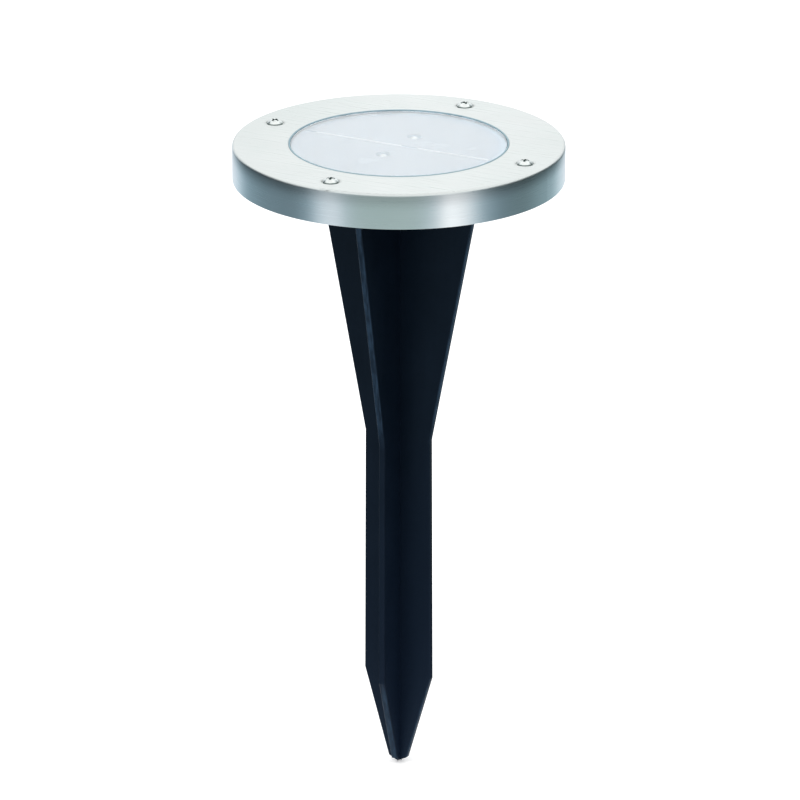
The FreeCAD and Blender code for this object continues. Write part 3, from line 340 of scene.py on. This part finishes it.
def spike_plastic():
    """Blue-black moulded plastic, painted lighter towards the bottom, with a painted highlight
    along its outer edges on the flare and at the tip.
    """
    m = Shader("spike_plastic").put(Specular_IOR_Level=0.13, Specular_Tint=(0.55, 0.80, 1.0, 1.0))
    x, y, height = m.axes()
    reach = m.math("MAXIMUM", m.math("ABSOLUTE", x), m.math("ABSOLUTE", y))
    flare = m.remap(height, SPIKE_WAIST[1], SPIKE_FLARE[1], SPIKE_WAIST[0], SPIKE_FLARE[0])
    taper = m.remap(height, SPIKE_TIP[1], SPIKE_SHOULDER[1], SPIKE_TIP[0], SPIKE_SHOULDER[0],
                    clamp=False)
    edge = m.math("MINIMUM", flare_or_shaft(m, height, flare), taper)
    # Painted highlight along the outer edges of the flare and the tip.
    rim = m.remap(m.math("SUBTRACT", reach, edge), *EDGE_GLINT_OUTSIDE, 0.0, 1.0)
    sloped = m.math("MAXIMUM", m.remap(height, *EDGE_GLINT_FLARE, 0.0, 1.0),
                    m.remap(height, *EDGE_GLINT_TIP, 1.0, 0.0))
    streak = m.noise(1.0, 4.0, 0.6, vector=m.stretched((900, 900, 22)))
    edge_glint = m.math("MULTIPLY", m.math("MULTIPLY", rim, sloped),
                   m.remap(streak, 0.38, 0.6, 0.25, 1.0))
    cloud, flow, speck = moulded_textures(m)
    body = m.clouded(cloud, (0.0014, 0.0036, 0.0085), (0.0024, 0.0054, 0.0118))
    streaked = m.mix(m.remap(flow, 0.5, 0.8, 0.0, 0.4), body, (0.0040, 0.0082, 0.0165))
    # Painted light: lighter and bluer towards the bottom.
    low_sheen = m.mix(m.remap(height, 0.0, LOW_SHEEN_HEIGHT, LOW_SHEEN_SHARE, 0.0), streaked, LOW_SHEEN_COLOUR)
    # The painted edge highlight goes over the painted lighter lower spike.
    m.colour(m.mix(edge_glint, low_sheen, EDGE_GLINT_COLOUR))
    m.rough_by(speck, 0.42, 0.54)
    moulded_grain(m, speck, 22 * MICRON)
    return m.material


def flare_or_shaft(m, height, flare):
    """Outer reach of the fins: the flare above the waist, the near straight shaft below it."""
    shaft = m.remap(height, SPIKE_SHOULDER[1], SPIKE_WAIST[1], SPIKE_SHOULDER[0], SPIKE_WAIST[0])
    above = m.math("GREATER_THAN", height, SPIKE_WAIST[1])
    return m.mix_value(above, shaft, flare)


def clear_window():
    """Clear polished window with the faintest haze and wiping marks."""
    m = Shader("window_clear")
    m.put(Base_Color=(0.93, 0.97, 1.0, 1.0), IOR=1.5, Transmission_Weight=1.0,
          Coat_Weight=1.0, Coat_Roughness=0.0, Coat_IOR=1.5)
    haze = m.noise(1.0, 3.0, vector=m.stretched((70, 18, 10)))
    m.rough(m.remap(haze, 0.4, 0.75, 0.0, 0.02))
    return m.material


def dull_rubber(name, light, dark):
    """Rubber or foam: soft cloud and a fine open grain."""
    m = Shader(name).put(Specular_IOR_Level=0.3)
    cloud = m.noise(300, 4.0)
    m.colour(m.clouded(cloud, dark, light))
    m.rough_by(cloud, 0.55, 0.75)
    m.bump(m.noise(4200, 3.0, 0.7), 20 * MICRON)
    return m.material


def panel_laminate():
    """Pale laminated board with a faint glass-fibre weave."""
    m = Shader("panel_laminate").put(Coat_Weight=0.5, Coat_Roughness=0.05)
    threads = []
    for direction in "XY":
        wave = m.add("ShaderNodeTexWave", bands_direction=direction)
        wave.inputs["Scale"].default_value = 420
        wave.inputs["Distortion"].default_value = 1.2
        m.link(m.place, wave.inputs["Vector"])
        threads.append(wave.outputs["Fac"])
    weave = m.math("MULTIPLY", *threads)
    cloud = m.noise(80)
    base = m.clouded(cloud, (0.30, 0.52, 0.68), (0.34, 0.56, 0.72))
    m.colour(m.mix(m.remap(weave, 0.2, 1.0, 0.0, 0.25), base, (0.60, 0.72, 0.80)))
    m.rough_by(cloud, 0.25, 0.4)
    m.bump(weave, 6 * MICRON)
    return m.material


def solar_silicon():
    """Blue coated cell: crystal-like mottling and thin collector fingers."""
    m = Shader("solar_silicon").put(Coat_Weight=1.0, Coat_Roughness=0.08, Coat_IOR=1.6)
    crystal = m.add("ShaderNodeTexVoronoi")
    crystal.inputs["Scale"].default_value = 260
    m.link(m.place, crystal.inputs["Vector"])
    grains = m.add("ShaderNodeSeparateColor")
    m.link(crystal.outputs["Color"], grains.inputs[0])
    cloud = m.noise(45, 3.0)
    blue = m.clouded(cloud, (0.095, 0.215, 0.32), (0.115, 0.235, 0.34))
    mottled = m.mix(m.math("MULTIPLY", grains.outputs[0], 0.45), blue, (0.145, 0.275, 0.39))
    pitch = m.math("MULTIPLY", m.axes()[0], 1.0 / FINGER_PITCH)
    finger = m.math("LESS_THAN", m.math("FRACT", pitch), FINGER_SHARE)
    lined = m.mix(m.math("MULTIPLY", finger, 0.6), mottled, (0.50, 0.53, 0.58))
    deep, pale = edge_shade_and_border(m)
    # Painted shade: deep blue towards the cell's rim, then the pale blue border.
    m.colour(m.mix(pale, m.mix(deep, lined, (0.07, 0.25, 0.42)), (0.28, 0.60, 0.84)))
    m.rough_by(cloud, 0.24, 0.28)
    m.bump(finger, 10 * MICRON)
    return m.material


def edge_shade_and_border(m):
    """Painted shade turns the cell deeper blue towards its rim, a little off centre; then it
    turns pale blue.
    """
    x, y, _ = m.axes()
    east = m.math("SUBTRACT", x, CELL_SHADE_MIDDLE[0])
    north = m.math("SUBTRACT", y, CELL_SHADE_MIDDLE[1])
    square = m.math("ADD", m.math("MULTIPLY", east, east), m.math("MULTIPLY", north, north))
    reach = m.math("SQRT", square)
    return m.remap(reach, *CELL_SHADE_REACH, 0.0, 1.0), m.remap(reach, *PALE_REACH, 0.0, 1.0)


def clear_epoxy():
    """Clear LED epoxy, pale and very smooth, with a faint milky cloud."""
    m = Shader("led_epoxy").put(Coat_Weight=1.0, Coat_Roughness=0.02, Specular_IOR_Level=0.8)
    cloud = m.noise(700)
    m.colour(m.clouded(cloud, (0.90, 0.92, 0.90), (0.97, 0.97, 0.94)))
    m.rough_by(cloud, 0.04, 0.1)
    m.bump(m.noise(1600), 4 * MICRON)
    return m.material


def circuit_laminate():
    """Green solder mask over faint raised copper tracks."""
    m = Shader("circuit_laminate").put(Coat_Weight=0.4, Coat_Roughness=0.15)
    tracks = m.add("ShaderNodeTexBrick")
    tracks.inputs["Scale"].default_value = 240
    tracks.inputs["Mortar Size"].default_value = 0.06
    m.link(m.place, tracks.inputs["Vector"])
    cloud = m.noise(200)
    mask = m.clouded(cloud, (0.02, 0.16, 0.06), (0.03, 0.21, 0.09))
    m.colour(m.mix(m.math("MULTIPLY", tracks.outputs["Fac"], 0.6), mask, (0.10, 0.36, 0.14)))
    m.rough_by(cloud, 0.3, 0.45)
    m.bump(tracks.outputs["Fac"], 30 * MICRON)
    return m.material


def copper_winding():
    """Enamelled copper wire laid turn by turn."""
    m = Shader("copper_winding").put(Metallic=0.9)
    turns = m.add("ShaderNodeTexWave", bands_direction="Z", wave_profile="SIN")
    turns.inputs["Scale"].default_value = 900
    m.link(m.place, turns.inputs["Vector"])
    m.colour(m.mix(turns.outputs["Fac"], (0.32, 0.11, 0.04), (0.72, 0.33, 0.16)))
    m.rough(m.remap(turns.outputs["Fac"], 0.0, 1.0, 0.5, 0.25))
    m.bump(turns.outputs["Fac"], 100 * MICRON)
    return m.material


def cell_sleeve():
    """Printed shrink sleeve: plain green with a silver band and fine wrinkles."""
    m = Shader("cell_sleeve").put(Coat_Weight=0.6, Coat_Roughness=0.08)
    band = m.math("GREATER_THAN", m.axes()[0], SLEEVE_BAND)
    cloud = m.noise(150)
    green = m.clouded(cloud, (0.03, 0.22, 0.10), (0.05, 0.28, 0.13))
    m.colour(m.mix(band, green, (0.62, 0.64, 0.65)))
    m.rough_by(cloud, 0.25, 0.4)
    m.bump(m.noise(900, 3.0), 30 * MICRON)
    return m.material


def wire_skin(name, light, dark):
    """PVC insulation with a soft sheen and faint rings from bending."""
    m = Shader(name).put(Specular_IOR_Level=0.5)
    rings = m.noise(1800, 3.0)
    m.colour(m.clouded(rings, dark, light))
    m.rough_by(rings, 0.3, 0.45)
    m.bump(rings, 20 * MICRON)
    return m.material


materials = {
    "stainless": brushed_stainless(),
    "screw_steel": polished_steel(),
    "insert_brass": soft_metal("insert_brass", (0.70, 0.50, 0.20), (0.55, 0.38, 0.15), 0.25, 0.4),
    "window_clear": clear_window(),
    "gasket_rubber": dull_rubber("gasket_rubber", (0.29, 0.41, 0.46), (0.23, 0.34, 0.39)),
    "housing_plastic": moulded_plastic("housing_plastic", (0.016, 0.020, 0.026),
                                       (0.010, 0.013, 0.018)),
    "seal_foam": dull_rubber("seal_foam", (0.04, 0.04, 0.045), (0.02, 0.02, 0.022)),
    "panel_laminate": panel_laminate(),
    "solar_silicon": solar_silicon(),
    "tinned_ribbon": soft_metal("tinned_ribbon", (0.90, 0.91, 0.93), (0.82, 0.83, 0.85),
                                0.3, 0.45),
    "led_epoxy": clear_epoxy(),
    "lead_metal": soft_metal("lead_metal", (0.72, 0.72, 0.71), (0.60, 0.60, 0.58), 0.25, 0.4),
    "circuit_laminate": circuit_laminate(),
    "chip_epoxy": moulded_plastic("chip_epoxy", (0.022, 0.022, 0.024), (0.014, 0.014, 0.015)),
    "ferrite": moulded_plastic("ferrite", (0.06, 0.06, 0.065), (0.035, 0.035, 0.038), (0.4, 0.6)),
    "copper_winding": copper_winding(),
    "cell_steel": soft_metal("cell_steel", (0.70, 0.70, 0.69), (0.58, 0.58, 0.57), 0.2, 0.35),
    "cell_sleeve": cell_sleeve(),
    "contact_nickel": soft_metal("contact_nickel", (0.74, 0.72, 0.67), (0.60, 0.58, 0.54),
                                 0.2, 0.36),
    "switch_plastic": moulded_plastic("switch_plastic", (0.03, 0.03, 0.033), (0.02, 0.02, 0.022)),
    "knob_plastic": moulded_plastic("knob_plastic", (0.42, 0.43, 0.44), (0.34, 0.35, 0.36)),
    "wire_red": wire_skin("wire_red", (0.50, 0.02, 0.02), (0.36, 0.015, 0.015)),
    "wire_black": wire_skin("wire_black", (0.03, 0.03, 0.03), (0.015, 0.015, 0.015)),
    "wire_yellow": wire_skin("wire_yellow", (0.66, 0.46, 0.04), (0.50, 0.34, 0.03)),
    "spike_plastic": spike_plastic(),
}
slot_of = {row["node"]: row["material_slot"] for row in frame["record"]["subparts"]}
for name, item in nodes_by_name.items():
    item.data.materials.clear()
    item.data.materials.append(materials[slot_of[name]])


# ---------------------------------------------------------------- floor and lights

FLOOR_RADIUS = 8.0
FLOOR_GAP = 0.5 * MM


def pale_floor():
    """A wide pale floor just under the spike's tip."""
    mesh = bpy.data.meshes.new("floor")
    shape = bmesh.new()
    bmesh.ops.create_circle(shape, cap_ends=True, segments=96, radius=FLOOR_RADIUS)
    shape.to_mesh(mesh)
    shape.free()
    floor = bpy.data.objects.new("floor", mesh)
    floor.location.z = cad_box[0].z - FLOOR_GAP
    bpy.context.scene.collection.objects.link(floor)
    m = Shader("floor_paper")
    m.put(Specular_IOR_Level=0.1, Emission_Color=(*WHITE, 1.0), Emission_Strength=0.2)
    m.colour(m.clouded(m.noise(3.0), (0.93, 0.93, 0.93), (0.95, 0.95, 0.95)))
    m.rough_by(m.noise(9.0), 0.8, 0.95)
    mesh.materials.append(m.material)


# Camera: azimuth, the rise at which it sees the head, distance, aim height, lens in
# millimetres, sideways shift and clipping distances.
VIEW_AZIMUTH = math.radians(28.2)
VIEW_RISE = math.radians(17.64)
VIEW_DISTANCE = 2.5
AIM_BELOW_TOP = 0.0983
LENS = 312.6
SHIFT_ACROSS = 0.0015
NEAREST = 0.05
FARTHEST = 60


def direction(azimuth, rise):
    """Unit vector outward at an azimuth, counted from -Y towards +X, and a rise."""
    flat = math.cos(rise)
    return Vector((math.sin(azimuth) * flat, -math.cos(azimuth) * flat, math.sin(rise)))


def main_camera():
    """A long lens from in front and a little above."""
    spot = Vector((0, 0, head_top)) + direction(VIEW_AZIMUTH, VIEW_RISE) * VIEW_DISTANCE
    aim = Vector((0, 0, head_top - AIM_BELOW_TOP))
    data = bpy.data.cameras.new("camera")
    data.lens = LENS
    data.shift_x = SHIFT_ACROSS
    data.clip_start = NEAREST
    data.clip_end = FARTHEST
    camera = bpy.data.objects.new("camera", data)
    camera.location = spot
    camera.rotation_euler = (aim - spot).to_track_quat("-Z", "Y").to_euler()
    bpy.context.scene.collection.objects.link(camera)
    bpy.context.scene.camera = camera


def area_light(name, azimuth, rise, distance, size, power):
    """A soft square light aimed at the object from an angle about the camera's own."""
    way = direction(VIEW_AZIMUTH + math.radians(azimuth), math.radians(rise))
    data = bpy.data.lights.new(name, "AREA")
    data.shape = "SQUARE"
    data.size = size
    data.energy = power
    lamp = bpy.data.objects.new(name, data)
    lamp.visible_glossy = False
    lamp.location = way * distance + Vector((0, 0, head_top / 2))
    lamp.rotation_euler = (-way).to_track_quat("-Z", "Y").to_euler()
    bpy.context.scene.collection.objects.link(lamp)


WORLD_STRENGTH = 1.15


def studio_world():
    """Even white light from all round."""
    world = bpy.data.worlds.new("studio")
    world.use_nodes = True
    background = world.node_tree.nodes["Background"]
    background.inputs["Color"].default_value = (*WHITE, 1.0)
    background.inputs["Strength"].default_value = WORLD_STRENGTH
    bpy.context.scene.world = world


# What the steel reflects, by bearing from the camera: dark and bright panels of a soft studio.
BRIGHT = (0.99, 1.0, 1.06)
DARK = (0.68, 0.98, 1.17)
# Levels at which a panel takes the dark tint and the bright tint whole.
TINT_SPAN = (0.3, 1.2)
PANELS = [(-180, 1.10), (-156, 1.00), (-145, 0.80), (-127, 0.33), (-102, 0.24), (-73, 0.22),
          (-62, 0.34), (-52, 0.92), (-42, 1.02), (-36, 0.66), (-28, 0.59), (0, 0.60),
          (15, 0.60), (25, 0.78), (32, 1.44), (42, 1.26), (50, 0.86), (58, 0.42), (72, 0.23),
          (93, 0.20), (112, 0.31), (128, 0.38), (140, 0.72), (156, 1.00), (180, 1.10)]
# How much of the panels' blue shows by bearing: less in front and to the right.
BLUES = [(-180, 1.0), (-40, 1.0), (-26, 0.88), (10, 0.88), (24, 0.98), (70, 1.0), (90, 0.94),
         (118, 0.94), (140, 0.98), (180, 1.0)]
# Rows of the reflector: radius, height, how much of the panels shows in front, at the sides
# and behind, and how far plain white takes over in front, at the sides and behind.
ROWS = [(0.06, 0.0006, (0.30, 0.30, 0.30), (0.0, 0.0, 0.0)),
        (0.24, 0.0006, (0.60, 0.60, 0.60), (0.0, 0.0, 0.0)),
        (0.36, 0.0006, (1.60, 2.00, 1.70), (0.0, 0.0, 0.0)),
        (0.55, 0.0006, (1.60, 2.00, 1.70), (0.0, 0.0, 0.0)),
        (0.55, 0.08, (1.05, 1.40, 1.00), (0.0, 0.0, 0.0)),
        (0.55, 0.15, (0.80, 0.80, 0.85), (0.0, 0.0, 0.0)),
        (0.55, 0.24, (0.68, 0.32, 0.90), (0.0, 0.0, 0.0)),
        (0.55, 0.28, (0.64, 0.30, 0.90), (0.0, 0.0, 0.0)),
        (0.55, 0.37, (0.62, 0.30, 0.90), (0.0, 0.0, 1.0)),
        (0.55, 0.60, (0.62, 0.32, 0.90), (0.0, 0.0, 1.0)),
        (0.55, 0.80, (0.62, 0.32, 0.90), (1.0, 1.0, 1.0)),
        (0.55, 1.60, (0.62, 0.32, 0.90), (1.0, 1.0, 1.0))]
# Plain white by angle away from straight behind, and where front, side and back blend.
WHITE_TINT = (0.968, 1.0, 1.008)
WHITES = [(0, 1.44), (4, 1.38), (7, 1.26), (16, 1.20), (180, 1.40)]
BLENDS = [(0, 0), (48, 0), (66, 1), (132, 1), (152, 2), (180, 2)]
RING_SIDES = 180


def between(table, value):
    """Straight-line reading of a table of (place, number) pairs."""
    for (low, first), (high, last) in zip(table, table[1:]):
        if low <= value <= high:
            return first + (last - first) * (value - low) / (high - low)
    return table[-1][1]


def blended(numbers, bearing):
    """One of three numbers for front, side and back, blended by bearing."""
    step = between(BLENDS, abs(bearing))
    low = min(int(step), 1)
    return numbers[low] + (numbers[low + 1] - numbers[low]) * (step - low)


def ring_colour(bearing, shares, whites):
    """What one point of the reflector gives off, as a linear colour."""
    level = between(PANELS, bearing)
    low, high = TINT_SPAN
    blend = min(max((level - low) / (high - low), 0.0), 1.0)
    tint = [dark + (bright - dark) * blend for dark, bright in zip(DARK, BRIGHT)]
    tint[2] *= between(BLUES, bearing)
    share = blended(shares, bearing)
    cover = blended(whites, bearing)
    white = between(WHITES, 180 - abs(bearing)) * cover
    shown = share * level * (1 - cover)
    return [shown * part + white * pale for part, pale in zip(tint, WHITE_TINT)] + [1.0]


def studio_ring():
    """A bowl-shaped reflector round the light that only glossy reflections see."""
    mesh = bpy.data.meshes.new("studio_ring")
    shape = bmesh.new()
    glow = shape.verts.layers.float_color.new("glow")
    rows = []
    for radius, height, shares, whites in ROWS:
        row = []
        for i in range(RING_SIDES):
            bearing = -180 + 360 * i / RING_SIDES
            turn = VIEW_AZIMUTH - math.pi / 2 + math.radians(bearing)
            vert = shape.verts.new((radius * math.cos(turn), radius * math.sin(turn), height))
            vert[glow] = ring_colour(bearing, shares, whites)
            row.append(vert)
        rows.append(row)
    for low, high in zip(rows, rows[1:]):
        for i in range(RING_SIDES):
            j = (i + 1) % RING_SIDES
            shape.faces.new((low[i], low[j], high[j], high[i]))
    shape.to_mesh(mesh)
    shape.free()
    ring = bpy.data.objects.new("studio_ring", mesh)
    bpy.context.scene.collection.objects.link(ring)
    for way in ("camera", "diffuse", "transmission", "shadow", "volume_scatter"):
        setattr(ring, "visible_" + way, False)
    material = bpy.data.materials.new("studio_ring")
    material.use_nodes = True
    tree = material.node_tree
    tree.nodes.clear()
    out = tree.nodes.new("ShaderNodeOutputMaterial")
    light = tree.nodes.new("ShaderNodeEmission")
    colour = tree.nodes.new("ShaderNodeAttribute")
    colour.attribute_name = "glow"
    tree.links.new(colour.outputs["Color"], light.inputs["Color"])
    tree.links.new(light.outputs[0], out.inputs["Surface"])
    mesh.materials.append(material)


main_camera()
pale_floor()
studio_world()
studio_ring()
area_light("key_light", azimuth=-55, rise=50, distance=1.6, size=0.9, power=6)
area_light("fill_light", azimuth=60, rise=40, distance=1.8, size=1.0, power=4)
bpy.context.scene.view_settings.view_transform = "Standard"
